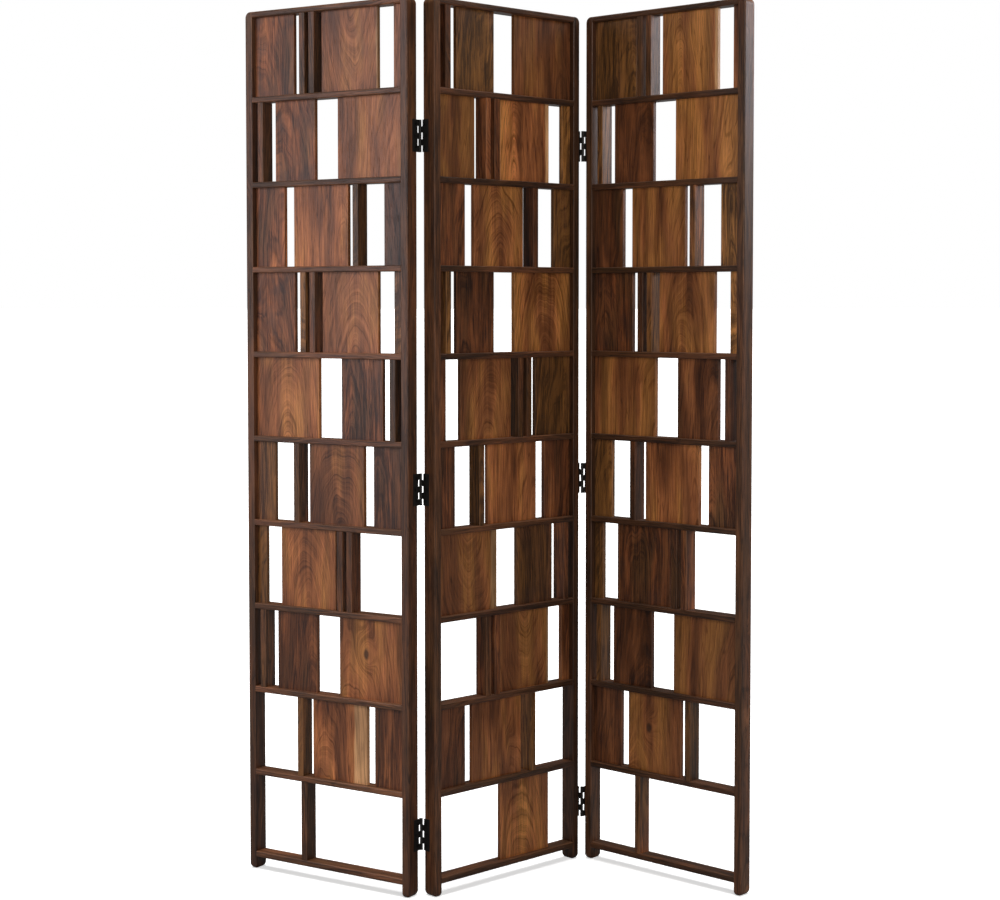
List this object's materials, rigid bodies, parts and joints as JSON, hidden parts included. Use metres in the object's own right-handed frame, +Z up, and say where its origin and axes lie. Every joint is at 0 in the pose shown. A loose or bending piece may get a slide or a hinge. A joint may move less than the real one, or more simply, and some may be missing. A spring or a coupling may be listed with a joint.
{
  "type": "folding room divider screen",
  "caption": "Free-standing folding screen: tall slatted wood panels, a patchwork of wide boards and narrow fins between thin rails, joined by black butt hinges.",
  "frame": {"origin": "middle of the footprint on the floor, with the screen standing in its zigzag", "axes": "+Z up, along the height of the stiles; +X along the screen from the left panel to the right panel; the front faces -Y"},
  "size_m": [1.024, 0.3096, 1.778],
  "materials": {
    "frame_wood": "dark walnut stain, satin lacquer",
    "slat_wood": "warm brown stain over strongly figured hardwood, satin lacquer",
    "hinge_black": "matt black powder coat",
    "screw_steel": "black oxide, countersunk cross-slot head"
  },
  "bodies": {
    "middle_panel": {"middle_bottom_rail": "frame_wood", "middle_cross_rails": "frame_wood", "middle_hinge_leaves_back": "hinge_black", "middle_hinge_leaves_front": "hinge_black", "middle_hinge_screws": "screw_steel", "middle_row_01_slats": "slat_wood", "middle_row_02_slats": "slat_wood", "middle_row_03_slats": "slat_wood", "middle_row_04_slats": "slat_wood", "middle_row_05_slats": "slat_wood", "middle_row_06_slats": "slat_wood", "middle_row_07_slats": "slat_wood", "middle_row_08_slats": "slat_wood", "middle_row_09_slats": "slat_wood", "middle_row_10_slats": "slat_wood", "middle_stile_left": "frame_wood", "middle_stile_right": "frame_wood", "middle_top_rail": "frame_wood"},
    "left_panel": {"left_bottom_rail": "frame_wood", "left_cross_rails": "frame_wood", "left_hinge_leaves": "hinge_black", "left_hinge_screws": "screw_steel", "left_row_01_slats": "slat_wood", "left_row_02_slats": "slat_wood", "left_row_03_slats": "slat_wood", "left_row_04_slats": "slat_wood", "left_row_05_slats": "slat_wood", "left_row_06_slats": "slat_wood", "left_row_07_slats": "slat_wood", "left_row_08_slats": "slat_wood", "left_row_09_slats": "slat_wood", "left_row_10_slats": "slat_wood", "left_stile_hinge": "frame_wood", "left_stile_outer": "frame_wood", "left_top_rail": "frame_wood", "back_hinge_pins": "hinge_black"},
    "right_panel": {"right_bottom_rail": "frame_wood", "right_cross_rails": "frame_wood", "right_hinge_leaves": "hinge_black", "right_hinge_screws": "screw_steel", "right_row_01_slats": "slat_wood", "right_row_02_slats": "slat_wood", "right_row_03_slats": "slat_wood", "right_row_04_slats": "slat_wood", "right_row_05_slats": "slat_wood", "right_row_06_slats": "slat_wood", "right_row_07_slats": "slat_wood", "right_row_08_slats": "slat_wood", "right_row_09_slats": "slat_wood", "right_row_10_slats": "slat_wood", "right_stile_hinge": "frame_wood", "right_stile_outer": "frame_wood", "right_top_rail": "frame_wood", "front_hinge_pins": "hinge_black"}
  },
  "joints": [
    {"name": "left_fold", "type": "hinge", "parent": "middle_panel", "child": "left_panel", "pos_m": [-0.14462, -0.12437, 0.8125], "axis": [0, 0, 1], "range_deg": [-104.3, 75.7]},
    {"name": "right_fold", "type": "hinge", "parent": "middle_panel", "child": "right_panel", "pos_m": [0.18374, 0.12916, 0.8125], "axis": [0, 0, 1], "range_deg": [-93.9, 86.1]}
  ]
}
